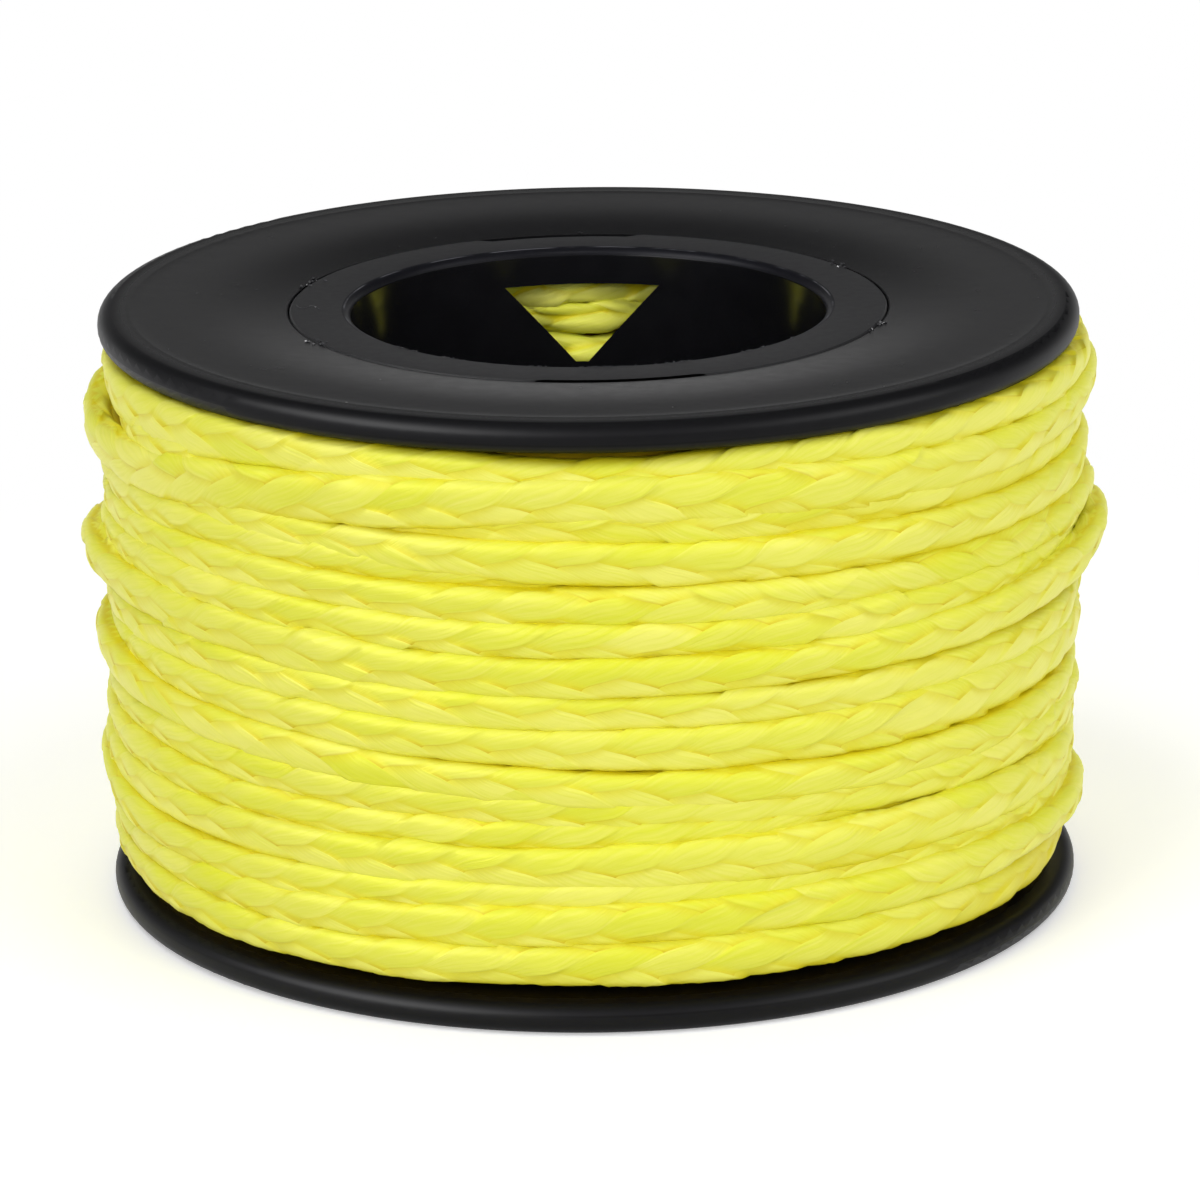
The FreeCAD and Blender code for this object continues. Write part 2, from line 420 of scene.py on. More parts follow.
def free_end(start):
    """Centre line of the free end: a smooth spline whose points are the part's route."""
    points = [start, *[around(degrees, CREST_RADIUS + lift, height) for degrees, lift, height in FREE_END]]
    data = bpy.data.curves.new("free_end_route", "CURVE")
    data.dimensions = "3D"
    data.resolution_u = 24
    spline = data.splines.new("NURBS")
    spline.points.add(len(points) - 1)
    for place, point in zip(points, spline.points):
        point.co = (*place, 1.0)
    spline.order_u = 3
    spline.use_endpoint_u = True
    holder = add_object("free_end_route", data)
    mesh = bpy.data.meshes.new_from_object(holder.evaluated_get(bpy.context.evaluated_depsgraph_get()))
    line = np.array([vertex.co[:] for vertex in mesh.vertices])
    bpy.data.meshes.remove(mesh)
    bpy.data.objects.remove(holder)
    bpy.data.curves.remove(data)
    return line


def cord_line():
    """The whole cord's centre line, its section, and where its braid can be seen."""
    inner, outer = inner_layers(), outer_layer()
    degrees, radius, height, tall, deep = [np.concatenate(pair) for pair in zip(inner, outer)]
    wound = len(inner[0])
    index = np.arange(len(degrees))
    fade = np.clip((index - wound) * GRID / FADE_DEGREES, 0, 1)
    radius, height = [
        gaussian(values, INNER_BLUR / GRID) * (1 - fade) + gaussian(values, OUTER_BLUR / GRID) * fade
        for values in (radius, height)
    ]
    foot = lowest_centre(radius, tall)
    height = np.clip(height, foot, SPOOL_HEIGHT - foot)
    arc = index * math.radians(GRID) * radius.mean()
    radius = radius + sum(smooth_noise(arc, *wobble) for wobble in RADIUS_WOBBLE) * fade
    height = height + sum(smooth_noise(arc, *wobble) for wobble in HEIGHT_WOBBLE) * fade
    first = (radius < HUB_RADIUS + 2) & (height > HUB_TOP - WINDOW_HEIGHT - 1)
    press, half_width = WINDOW_PRESS
    radius = radius - np.where(first, press * np.exp(-(from_window(degrees) / half_width) ** 2), 0)
    behind_slack = (index < wound) & (radius > BULGE_RADIUS)
    filled = np.zeros(len(degrees))
    for at, half_width, middle, climb, half_size, lift in INNER_BULGES:
        aside = (degrees - at + 180) % 360 - 180
        off = height - middle - climb * aside
        bulge = np.where(behind_slack, np.exp(-(aside / half_width) ** 2 - (off / half_size) ** 2), 0)
        filled = np.maximum(filled, bulge)
        radius = radius + lift * bulge
    swing = np.interp(degrees, SWING_DEGREES, SWING_GIRTH, period=360)
    for turn, at, girths, reach in TWIST:
        swing = swing + girths * near(degrees, turn, at, reach)
    line = around(degrees, radius, height)
    beside, within, above = WINDOW_VIEW
    at_window = (np.abs(from_window(degrees)) < beside) & (radius < within) & (height > above)
    braided = at_window | (index > wound - FADE_DEGREES / GRID) | (filled > 0.1)
    end = free_end(line[-1])[1:]
    end_section = np.tile((*END_SECTION, 0.0, SWING_GIRTH[2]), (len(end), 1))
    section = np.vstack([np.stack([tall, deep, SECTION_TILT * fade, swing], axis=1), end_section])
    line = np.vstack([line, end])
    braided = np.concatenate([braided, np.full(len(end), True)])
    along = np.concatenate([[0], np.cumsum(np.linalg.norm(np.diff(line, axis=0), axis=1))])
    return line, along, section, braided


def frame_at(places, line, along, section):
    """Centre, outward and upward directions and section of the cord at distances along it."""
    centre = points_at(places, line, along)
    reach = 0.4
    tangent = points_at(places + reach, line, along) - points_at(places - reach, line, along)
    tangent /= np.linalg.norm(tangent, axis=-1, keepdims=True)
    outward = centre * (1, 1, 0)
    outward -= tangent * np.sum(outward * tangent, axis=-1, keepdims=True)
    outward /= np.linalg.norm(outward, axis=-1, keepdims=True)
    upward = np.cross(outward, tangent)
    upward *= np.sign(upward[..., 2:])
    size = [np.interp(places, along, column) for column in section.T]
    return centre, outward, upward, size


def lobe_values(yarn, along, count, seed):
    """Number of the visible lobe at each place along a yarn, and random values for the lobes."""
    lobe = np.floor((along + WEAVE / 2) / WEAVE).astype(int)
    values = np.random.default_rng(seed).normal(0, 1, (count, YARNS, np.ptp(lobe) + 1))
    return lobe, values[:, yarn.astype(int) % YARNS, lobe - lobe.min()]


def lobe_height(own, other, start, seed):
    """Top of a yarn where it is own yarn widths round and other yarn widths along.

    Beside its parallel neighbour a yarn keeps most of its height. Its edge shows only where it
    lies over a yarn that crosses it.
    """
    yarn = np.floor(own)
    across = 2 * (own - yarn) - 1
    along = other + yarn - start
    lobe, (rise, lean) = lobe_values(yarn, along, 2, seed)
    wave = np.tanh(0.9 * np.cos(0.5 * math.pi * along)) / math.tanh(0.9)
    from_middle = along - WEAVE * lobe
    crossing = np.clip(0.75 + 0.9 * from_middle * np.sign(across), 0.5, 1)
    edge = 1 - np.sqrt(np.clip(1 - across ** 4, 0, 1))
    thickness = YARN_THICKNESS * np.clip(1 + 0.4 * lean, 0.2, 2)
    top = YARN_RISE * wave * (1 + 0.3 * rise) + thickness * (1 - crossing * edge)
    return top + YARN_LEAN * lean * across


def lobe_tone_and_sheen(yarn, other, start, seed, swing):
    """A random tone for each visible lobe of a yarn, with a painted sheen that makes it paler low down on
    the cord.
    """
    lobe, (value,) = lobe_values(yarn, other + TINY + yarn - start, 1, seed)
    middle = (0.5 + WEAVE * lobe + start) / (2 * YARNS) + SEAM_GIRTH + swing
    # Painted sheen: lobes low down on the cord are paler
    low = np.clip(0.5 - 1.5 * np.sin(2 * math.pi * middle), 0, 1)
    return 0.4 + 0.2 * value + 0.4 * low


def edge_wander(own, distance, seed):
    """How far the edges of the yarns stray, in yarn widths, at each mesh point."""
    seeds = seed + np.arange(YARNS)
    wanders = np.stack([smooth_noise(distance, *EDGE_WANDER, each) for each in seeds])
    yarn = np.floor(own).astype(int)
    share = own - yarn
    here = np.take_along_axis(wanders, (yarn % YARNS)[None], axis=0)[0]
    beyond = np.take_along_axis(wanders, ((yarn + 1) % YARNS)[None], axis=0)[0]
    return here * (1 - share) + beyond * share


def depth_below(verts, deep, out, facing_out, lift, on_hub):
    """How far each point of the braid lies below the winding's surface or between its yarns, which sets
    its painted shade.
    """
    azimuth = np.degrees(np.arctan2(verts[..., 0], -verts[..., 1]))
    depth = valley_radius(azimuth) + SURFACE_RISE - from_axis(verts)
    flank = FLANK_DEPTH * np.where(facing_out, deep - out, 0)
    crevice = CREVICE_DEPTH[0] * flank + CREVICE_DEPTH[1] * np.clip(-lift - 0.2, 0, 1)
    return np.clip(np.where(on_hub, crevice, np.maximum(depth, flank)), 0, 3)


def braided_tube(start, stop, line, along, section):
    """Vertices, faces and details of the braided cord between two distances along its line.

    The mesh lines follow the yarns: one family of lines climbs to the right round the cord and
    the other falls, and each yarn passes over two others and under two.
    """
    lines = np.array(YARN_LINES)
    count = len(lines)
    columns = YARNS * count
    per_length = 2 * YARNS / BRAID_LAY
    first, last = int(start * per_length * count), int(stop * per_length * count) + 1
    column = np.arange(columns)[None, :]
    place = np.arange(first, last)[:, None] + column
    right = column // count + lines[column % count]
    left = place // count + lines[place % count]
    right = np.broadcast_to(right, left.shape)
    distance = np.clip((left - right) / per_length, start, stop)
    families = [(right, left, 1, 21), (left, right, 3, 22)]
    tops = [lobe_height(own + side, *rest) for own, *rest in families for side in (TINY, -TINY)]
    lift = np.max(tops, axis=0) - YARN_RISE
    stray_right = right + edge_wander(right, distance, 31)
    stray_left = left + edge_wander(left, distance, 41)
    distance = np.clip((stray_left - stray_right) / per_length, start, stop)
    centre, outward, upward, (tall, deep, tilt, swing) = frame_at(distance, line, along, section)

    # A rounded oblong section, with the yarns standing on it
    girth = (stray_left + stray_right) / (2 * YARNS) + SEAM_GIRTH + swing
    girth = girth + smooth_noise(distance, *SEAM_ROLL) + TOOTH_EASE * np.cos(math.pi * (left - right))
    turn = 2 * math.pi * girth
    turn = turn + 0.5 * (tall - deep) / (tall + deep) * np.sin(2 * turn)
    cos, sin = np.cos(turn), np.sin(turn)
    size = (np.abs(cos / deep) ** SQUARENESS + np.abs(sin / tall) ** SQUARENESS) ** (-1 / SQUARENESS)
    out, up = size * cos, size * sin
    normal_out = np.sign(out) * np.abs(out / deep) ** (SQUARENESS - 1) / deep
    normal_up = np.sign(up) * np.abs(up / tall) ** (SQUARENESS - 1) / tall
    length = np.hypot(normal_out, normal_up)
    on_hub = from_axis(centre) < HUB_RADIUS + ON_HUB
    lift = np.where(on_hub, HUB_RELIEF * lift, lift)
    lumps = smooth_noise(distance, *LUMPS[0]) + smooth_noise(distance, *LUMPS[1]) * cos
    out = out + (lift + lumps) * normal_out / length
    up = up + (lift + lumps) * normal_up / length

    # The melted tip, and the lean of the section
    left_over = along[-1] - distance
    rounded = np.sqrt(np.clip(1 - (1 - left_over / TIP_LENGTH) ** 2, 0.02, 1))
    taper = np.where(left_over < TIP_LENGTH, TIP_GIRTH * rounded, 1)
    melted = np.clip(TIP_LENGTH - left_over, 0, 1)
    out, up = out * taper, up * taper
    out, up = out * np.cos(tilt) + up * np.sin(tilt), up * np.cos(tilt) - out * np.sin(tilt)
    verts = centre + out[..., None] * outward + up[..., None] * upward
    depth = depth_below(verts, deep, out, cos > 0, lift, on_hub)

    index = np.arange(len(verts) * columns).reshape(-1, columns)
    beside = np.roll(index, -1, axis=1)
    faces = np.stack([index[1:-1], beside[:-2], beside[1:-1], index[2:]], axis=-1).reshape(-1, 4)
    right, left, place = right[1:-1], left[1:-1], place[1:-1]
    yarn_right = np.floor(right + TINY)
    yarn_left = np.floor(left + TINY)
    step = np.array([*lines[1:], 1.0]) - lines
    ahead_right = right + step[column % count]
    ahead_left = left + step[place % count]
    on_top = (yarn_right + yarn_left) % WEAVE < WEAVE / 2
    corners = []
    for to_right, to_left in (
        (right, left), (ahead_right, left), (ahead_right, ahead_left), (right, ahead_left),
    ):
        across = np.where(on_top, to_right - yarn_right, to_left - yarn_left)
        along_yarn = np.where(on_top, to_left + yarn_right, to_right + yarn_left - 2)
        corners.append(np.stack([across, along_yarn], axis=-1))
    yarn_places = np.stack(corners, axis=-2).reshape(-1, 2)
    swing = swing[1:-1]
    # Each lobe's tone: random, and paler low down on the cord as a painted sheen
    tone = np.where(on_top, lobe_tone_and_sheen(yarn_right, left, 1, 51, swing),
                    lobe_tone_and_sheen(yarn_left, right, 3, 52, swing))
    return verts.reshape(-1, 3), faces, yarn_places, tone.ravel(), depth.ravel(), melted.ravel()


def plain_tube(start, stop, line, along, section):
    """The same for a hidden stretch of the cord, which needs no braid."""
    rows = max(2, int((stop - start) / COARSE_STEP))
    distance = np.linspace(start, stop, rows)[:, None] * np.ones((1, COARSE_SIDES))
    centre, outward, upward, (tall, deep, _, _) = frame_at(distance, line, along, section)
    turn = np.linspace(0, 2 * math.pi, COARSE_SIDES, endpoint=False)[None, :]
    out, up = 1.03 * deep * np.cos(turn), 1.03 * tall * np.sin(turn)
    verts = (centre + out[..., None] * outward + up[..., None] * upward).reshape(-1, 3)
    index = np.arange(len(verts)).reshape(rows, -1)
    beside = np.roll(index, -1, axis=1)
    faces = np.stack([index[:-1], beside[:-1], beside[1:], index[1:]], axis=-1).reshape(-1, 4)
    depth = np.clip(valley_radius(0.0) + SURFACE_RISE - from_axis(verts), 0, 3)
    return verts, faces, np.full((faces.size, 2), 0.5), np.full(len(faces), 0.5), depth, 0 * depth


def add_mesh(name, verts, faces):
    """A smooth mesh of four-sided faces."""
    mesh = bpy.data.meshes.new(name)
    mesh.vertices.add(len(verts))
    mesh.vertices.foreach_set("co", (verts * MM).ravel())
    mesh.loops.add(faces.size)
    mesh.loops.foreach_set("vertex_index", faces.ravel().astype(np.int32))
    mesh.polygons.add(len(faces))
    mesh.polygons.foreach_set("loop_start", np.arange(0, faces.size, 4, dtype=np.int32))
    mesh.polygons.foreach_set("loop_total", np.full(len(faces), 4, dtype=np.int32))
    mesh.polygons.foreach_set("use_smooth", np.ones(len(faces), dtype=bool))
    mesh.update()
    mesh.validate()
    return add_object(name, mesh)


def add_values(obj, name, values, domain="POINT"):
    layer = obj.data.attributes.new(name, "FLOAT", domain)
    layer.data.foreach_set("value", values.astype(np.float32))


def cavity(points):
    """How far each point of the winding lies below its surface, smoothed over neighbouring turns."""
    reach = from_axis(points)
    columns = int(360 / CELL[0])
    column = (np.degrees(np.arctan2(points[:, 0], points[:, 1])) / CELL[0]).astype(int) % columns
    row = (points[:, 2] / CELL[1]).astype(int)
    surface = np.full((columns, CELL_ROWS), 31.5)
    np.maximum.at(surface, (column, row), reach)
    for _ in range(CELL_PASSES):
        for axis in (0, 1):
            surface = (np.roll(surface, 1, axis=axis) + 2 * surface + np.roll(surface, -1, axis=axis)) / 4
    return np.where(reach > 27, np.clip(surface[column, row] - reach, 0, 3), 0)


def build_cord(material):
    line, along, section, braided = cord_line()
    switches = np.flatnonzero(np.diff(braided.astype(int))) + 1
    bounds = [0, *switches.tolist(), len(along) - 1]
    parts = []
    base = 0
    for start, stop in zip(bounds, bounds[1:]):
        tube = braided_tube if braided[(start + stop) // 2] else plain_tube
        verts, faces, *details = tube(along[start], along[stop], line, along, section)
        parts.append((verts, faces + base, *details))
        base += len(verts)
    points, faces, yarn_places, lobe_tones_and_sheen, depth, melted = map(np.concatenate, zip(*parts))
    cord = add_mesh("wound_cord", points, faces)
    yarns = cord.data.uv_layers.new(name="yarns")
    yarns.data.foreach_set("uv", yarn_places.astype(np.float32).ravel())
    # Each lobe's tone is random and paler low down on the cord as a painted sheen; depth and cavity set
    # painted shade
    add_values(cord, "tone", lobe_tones_and_sheen, "FACE")
    add_values(cord, "depth", depth)
    add_values(cord, "cavity", cavity(points))
    add_values(cord, "melted", melted)
    cord.data.materials.append(material)
    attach(cord, "root")
    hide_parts("cord_winding", "cord_free_end")


def lathe(name, degrees, profile, materials, node):
    """A closed round piece in place of a CAD node.

    The profile's points are (radius, height), each a number or one value for every column.
    """
    verts = np.concatenate([around(degrees, radius, height) for radius, height in profile])
    index = np.arange(len(verts)).reshape(len(profile), -1)
    above = np.roll(index, -1, axis=0)
    corners = [index, above, np.roll(above, -1, axis=1), np.roll(index, -1, axis=1)]
    piece = add_mesh(name, verts, np.stack(corners, axis=-1).reshape(-1, 4))
    piece.data.set_sharp_from_angle(angle=math.radians(30))
    for material in materials:
        piece.data.materials.append(material)
    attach(piece, "root")
    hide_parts(node)
    return piece


def seam_opening(degrees):
    """1 where the seam round an end ring gapes, 0 where it is closed."""
    from_middle = np.abs((degrees - SEAM_CENTRE + 90) % 180 - 90)
    return np.clip((SEAM_HALF - from_middle) / SEAM_FADE, 0, 1)


def ring_finish(face):
    """Which of a ring's finishes a face has: 0 plain, 1 mouth, 2 bore wall, 3 painted shade in the open
    seam.
    """
    radius = math.hypot(*face.center[:2]) / MM
    azimuth = math.degrees(math.atan2(face.center.x, -face.center.y))
    if radius < BORE_RADIUS + 0.01:
        return 2
    if radius < BORE_RADIUS + RING_ROUND - 0.02:
        return 1
    outside = radius > RING_RADIUS - max(SEAM_OPEN) - RING_EDGE and abs(face.normal.z) < 0.9
    return 3 if outside and seam_opening(azimuth) > 0.3 else 0


def build_rings(materials):
    degrees = np.arange(0, 360, 1.0)
    gap = np.where(np.cos(np.radians(degrees)) > 0, *SEAM_OPEN)
    outside = RING_RADIUS - gap * seam_opening(degrees)
    profile = [(BORE_RADIUS, HUB_TOP)]
    for turn in np.radians(np.arange(0, 91, 11.25)):
        profile.append((BORE_RADIUS + RING_ROUND * (1 - math.cos(turn)),
                        RING_FACE - RING_ROUND * (1 - math.sin(turn))))
    profile += [
        (outside - RING_EDGE, RING_FACE),
        (outside, RING_FACE - RING_EDGE),
        (outside, RING_FACE - RING_HEAD),
        (BORE_RADIUS + SPIGOT_WALL, RING_FACE - RING_HEAD),
        (BORE_RADIUS + SPIGOT_WALL, HUB_TOP),
    ]
    below = [(radius, SPOOL_HEIGHT - height) for radius, height in reversed(profile)]
    for name, node, outline in (
        ("top_ring_shell", "top_end_ring", profile),
        ("bottom_ring_shell", "bottom_end_ring", below),
    ):
        ring = lathe(name, degrees, outline, materials, node)
        for face in ring.data.polygons:
            face.material_index = ring_finish(face)


def build_hub(material):
    """The hub tube, with windows whose edges open outwards round the first turns of the cord."""
    beside = np.arange(-26, 26, 0.2)
    turns = 180 + WINDOW_TURN + 360 / WINDOW_COUNT * np.arange(WINDOW_COUNT)
    degrees = np.unique(np.concatenate([np.arange(0, 360, 2.0), (turns[:, None] + beside).ravel() % 360]))
    slope = 2 * WINDOW_HEIGHT / (WINDOW_WIDTH - WINDOW_TIP)
    foot = HUB_TOP - WINDOW_HEIGHT
    walls = []
    for radius, flare in ((HUB_RADIUS - HUB_WALL, 0.0), (HUB_RADIUS, WINDOW_FLARE)):
        aside = np.abs(radius * np.sin(np.radians(from_window(degrees))))
        edge = foot + (aside - WINDOW_TIP / 2) * slope - flare * math.hypot(1, slope)
        walls.append([(radius, HUB_FOOT), (radius, np.clip(edge, foot - flare, HUB_TOP))])
    profile = walls[0] + walls[1][::-1]
    lathe("hub_shell", degrees, profile, [material], "hub_tube")


def build_flash(material):
    """Crumbs of weld flash on the seam and on the bore's edge, and one fine curl of it."""
    rng = np.random.default_rng(9)
    crumbs = []
    for degrees in np.arange(-50, 56, 0.6):
        if math.sin(0.35 * degrees) + math.sin(0.11 * degrees + 1) > rng.uniform(-0.6, 1.4):
            crumbs.append((degrees, BORE_EDGE, rng.uniform(0.05, 0.11)))
    for degrees in FLASH_PLACES:
        for _ in range(CRUMBS_EACH):
            crumbs.append((degrees + rng.normal(0, 2.0), SEAM_RADIUS + rng.normal(0, 0.25),
                           rng.uniform(0.07, 0.2)))
    at, radius = CURL_PLACE
    for share in np.linspace(0, 1, 30):
        crumbs.append((at + 3 * share + 1.5 * math.sin(7 * share), radius - 1.7 * share, CURL_SIZE))
    builder = bmesh.new()
    for degrees, radius, size in crumbs:
        place = Vector(around(degrees, radius, RING_FACE)) * MM
        shape = Matrix.Diagonal((size * MM, 0.7 * size * MM, 0.6 * size * MM, 1))
        turned = Matrix.Translation(place) @ Matrix.Rotation(rng.uniform(0, math.pi), 4, "Z") @ shape
        ball = bmesh.ops.create_icosphere(builder, subdivisions=1, radius=1.0, matrix=turned)
        for vert in ball["verts"]:
            vert.co += Vector(rng.normal(0, 0.15 * size * MM, 3))
    mesh = bpy.data.meshes.new("weld_flash")
    builder.to_mesh(mesh)
    builder.free()
    flash = add_object("weld_flash", mesh)
    mesh.materials.append(material)
    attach(flash, "root")


class Graph:
    """The nodes of a material or world. Values are numbers, colours or other nodes' sockets."""

    def __init__(self, owner):
        owner.use_nodes = True
        self.nodes = owner.node_tree.nodes
        self.links = owner.node_tree.links
        self.shader = self.nodes.get("Principled BSDF")

    def set(self, socket, value):
        if isinstance(value, bpy.types.NodeSocket):
            self.links.new(value, socket)
        else:
            socket.default_value = value

    def add(self, kind, inputs=None, **settings):
        """The outputs of a new node with these settings and inputs."""
        node = self.nodes.new(kind)
        for name, value in settings.items():
            setattr(node, name, value)
        for name, value in (inputs or {}).items():
            self.set(node.inputs[name], value)
        return node.outputs

    def give(self, name, value):
        """Sets an input of the main shader."""
        self.set(self.shader.inputs[name], value)

    def given(self, name):
        """What feeds an input of the main shader."""
        return self.shader.inputs[name].links[0].from_socket

    def calc(self, operation, *values):
        return self.add("ShaderNodeMath", dict(enumerate(values)), operation=operation)["Value"]

    def times(self, first, second):
        return self.calc("MULTIPLY", first, second)

    def plus(self, first, second):
        return self.calc("ADD", first, second)

    def minus(self, first, second):
        return self.calc("SUBTRACT", first, second)

    def ramp(self, value, low, high):
        """0 where the value is at low or below it, 1 at high, smooth between."""
        inputs = {"Value": value, "From Min": low, "From Max": high}
        return self.add("ShaderNodeMapRange", inputs, interpolation_type="SMOOTHSTEP")["Result"]

    def line(self, value, place, half_width):
        """1 where the value is at the place, 0 beyond half_width from it."""
        gap = self.calc("ABSOLUTE", self.minus(value, place))
        return self.minus(1.0, self.ramp(gap, 0.3 * half_width, half_width))

    def steps(self, value, stops, interpolation="LINEAR"):
        """A grey that follows the value through stops of (place, level)."""
        node = self.nodes.new("ShaderNodeValToRGB")
        ramp = node.color_ramp
        ramp.interpolation = interpolation
        while len(ramp.elements) < len(stops):
            ramp.elements.new(0.5)
        for element, (place, level) in zip(ramp.elements, stops):
            element.position = place
            element.color = (level, level, level, 1)
        self.set(node.inputs["Fac"], value)
        return node.outputs["Color"]

    def rays(self, kind, *others):
        """1 for rays of any of these kinds."""
        path = self.add("ShaderNodeLightPath")
        seen = path[kind]
        for other in others:
            seen = self.calc("MAXIMUM", seen, path[other])
        return seen

    def place(self):
        return self.add("ShaderNodeTexCoord")["Object"]

    def split(self, vector):
        return self.add("ShaderNodeSeparateXYZ", {"Vector": vector})

    def noise(self, vector, scale, detail=2.0):
        return self.add("ShaderNodeTexNoise", {"Vector": vector, "Scale": scale, "Detail": detail})["Fac"]

    def blended(self, weight, first, second):
        """A colour between two."""
        inputs = {"Factor": weight, "A": first, "B": second}
        return self.add("ShaderNodeMix", inputs, data_type="RGBA")["Result"]

    def tint(self, colour, weight):
        """Moves the shader's colour towards another one by the weight."""
        self.give("Base Color", self.blended(weight, self.given("Base Color"), (*colour, 1)))

    def bump(self, height, strength, distance, **normal):
        inputs = {"Height": height, "Strength": strength, "Distance": distance, **normal}
        self.give("Normal", self.add("ShaderNodeBump", inputs)["Normal"])

    def roughen(self, weight, roughness):
        """Moves the shader's roughness towards another one by the weight."""
        rough = {"Factor": weight, "A": self.given("Roughness"), "B": roughness}
        self.give("Roughness", self.add("ShaderNodeMix", rough)["Result"])

    def mixed(self, weight, first, second):
        """A shader between two."""
        return self.add("ShaderNodeMixShader", {"Fac": weight, 1: first, 2: second})["Shader"]

    def radius_and_height(self):
        """Distance from the spool's axis and from its middle plane, in metres."""
        x, y, z = self.split(self.place())
        radius = self.calc("SQRT", self.plus(self.times(x, x), self.times(y, y)))
        return radius, self.calc("ABSOLUTE", self.minus(z, SPOOL_HEIGHT * MM / 2))

    def dust(self):
        """Adds a few tiny pale specks."""
        cells = self.add("ShaderNodeTexVoronoi", {"Vector": self.place(), "Scale": 260.0})
        chance = self.add("ShaderNodeSeparateColor", {"Color": cells["Color"]})["Red"]
        size = self.times(self.ramp(chance, 0.8, 1.0), 0.035)
        self.tint(DUST_COLOUR, self.calc("LESS_THAN", cells["Distance"], size))

    def painted_seam_shade(self, radius):
        """Painted shade in the thin open seam between flange and end ring, faint where it is closed."""
        line = self.line(radius, SEAM_RADIUS * MM, MARK_HALF_WIDTH * MM)
        centre = math.radians(SEAM_CENTRE)
        towards = {0: self.place(), 1: (math.sin(centre), -math.cos(centre), 0)}
        gaping = self.add("ShaderNodeVectorMath", towards, operation="DOT_PRODUCT")["Value"]
        edge = SEAM_RADIUS * math.cos(math.radians(SEAM_HALF)) * MM
        gaping = self.ramp(self.calc("ABSOLUTE", gaping), edge, edge + 0.15 * MM)
        return self.times(line, self.plus(self.times(gaping, 0.6), 0.4))


def cord_material():
    material = bpy.data.materials.new("yellow_braid")
    graph = Graph(material)
    graph.give("Roughness", 0.45)
    graph.give("Specular IOR Level", 0.3)

    # Places on the yarns: across each, and along it from where it comes up to where it dives
    yarns = graph.add("ShaderNodeUVMap", uv_map="yarns")["UV"]
    across, along, _ = graph.split(yarns)
    from_middle = graph.minus(across, 0.5)
    turn = graph.times(graph.minus(along, 1.0), math.pi / 2)
    rise = graph.calc("COSINE", turn)
    slope = graph.calc("SINE", turn)

    # Painted shade: a yarn's sides darken where it crosses others, more on its lower side and in patches,
    # and its ends darken where it dives under
    crossed = graph.ramp(graph.times(slope, from_middle), -0.3, 0.45)
    clear = graph.ramp(graph.noise(graph.place(), 150.0), 0.33, 0.62)
    crossed = graph.times(crossed, graph.plus(graph.times(clear, 0.8), 0.2))
    upper = graph.ramp(from_middle, -0.05, 0.05)
    crossed = graph.times(crossed, graph.minus(1.0, graph.times(upper, 0.85)))
    side = graph.times(graph.ramp(graph.calc("ABSOLUTE", from_middle), 0.42, 0.5), crossed)
    tuck = graph.minus(1.0, graph.ramp(rise, 0.0, 0.6))
    crease = graph.times(graph.minus(1.0, graph.ramp(rise, 0.0, 0.2)), crossed)

    stretch = {0: yarns, 1: (11.0, 0.5, 1.0)}
    stretched = graph.add("ShaderNodeVectorMath", stretch, operation="MULTIPLY")["Vector"]
    streaks = graph.noise(stretched, 1.0, 3.0)
    tone, depth, hollow, melted = [
        graph.add("ShaderNodeAttribute", attribute_name=name)["Fac"]
        for name in ("tone", "depth", "cavity", "melted")
    ]
    # The yarns' colour follows fibre streaks and the lobes' tone, which is random and paler low down on
    # the cord as a painted sheen
    blend = graph.ramp(graph.plus(graph.times(streaks, 0.6), graph.times(tone, 0.4)), 0.1, 0.9)
    graph.give("Base Color", graph.blended(blend, *YARN_COLOURS))
    # Painted shade in the yarns' tucks, sides and creases, on the winding's flanks, deep in its grooves
    # and in its hollows; the melted tip has its own colour
    weights = {
        "tuck": graph.times(tuck, 0.6),
        "side": graph.times(side, 0.65),
        "crease": graph.times(crease, 0.7),
        "flank": graph.ramp(depth, 0.15, 1.0),
        "deep": graph.ramp(depth, 1.5, 2.7),
        "cavity": graph.ramp(hollow, 0.5, 1.25),
        "melted": melted,
    }
    for name, colour in TINTS.items():
        graph.tint(colour, weights[name])
    graph.bump(streaks, 0.6, 0.00008)
    return material


def plastic_material(name, tone, roughness, specular, grain, grain_depth):
    material = bpy.data.materials.new(name)
    graph = Graph(material)
    graph.give("Specular IOR Level", specular)
    noise = graph.noise(graph.place(), grain, 4.0)
    darker, lighter = [(*[share * value for value in tone], 1) for share in (0.8, 1.2)]
    graph.give("Base Color", graph.blended(noise, darker, lighter))
    spread = {"Value": noise, "To Min": roughness - 0.05, "To Max": roughness + 0.05}
    graph.give("Roughness", graph.add("ShaderNodeMapRange", spread)["Result"])
    graph.bump(noise, 0.3, grain_depth)
    return material


def face_curve(graph, radius):
    """Height added to the flange's face by its slopes, for a bump node, and its whole range."""
    places = np.linspace(FACE_SLOPES[0][0], FACE_SLOPES[-1][0], 24)
    slopes = np.tan(np.radians(np.interp(places, *zip(*FACE_SLOPES))))
    heights = np.concatenate([[0], np.cumsum((slopes[1:] + slopes[:-1]) / 2 * np.diff(places))])
    low, high = heights.min(), heights.max()
    reach = places[-1] - places[0]
    stops = [((place - places[0]) / reach, (height - low) / (high - low))
             for place, height in zip(places, heights)]
    inputs = {"Value": radius, "From Min": places[0] * MM, "From Max": places[-1] * MM}
    share = graph.add("ShaderNodeMapRange", inputs)["Result"]
    return graph.steps(share, stops, "B_SPLINE"), (high - low) * MM


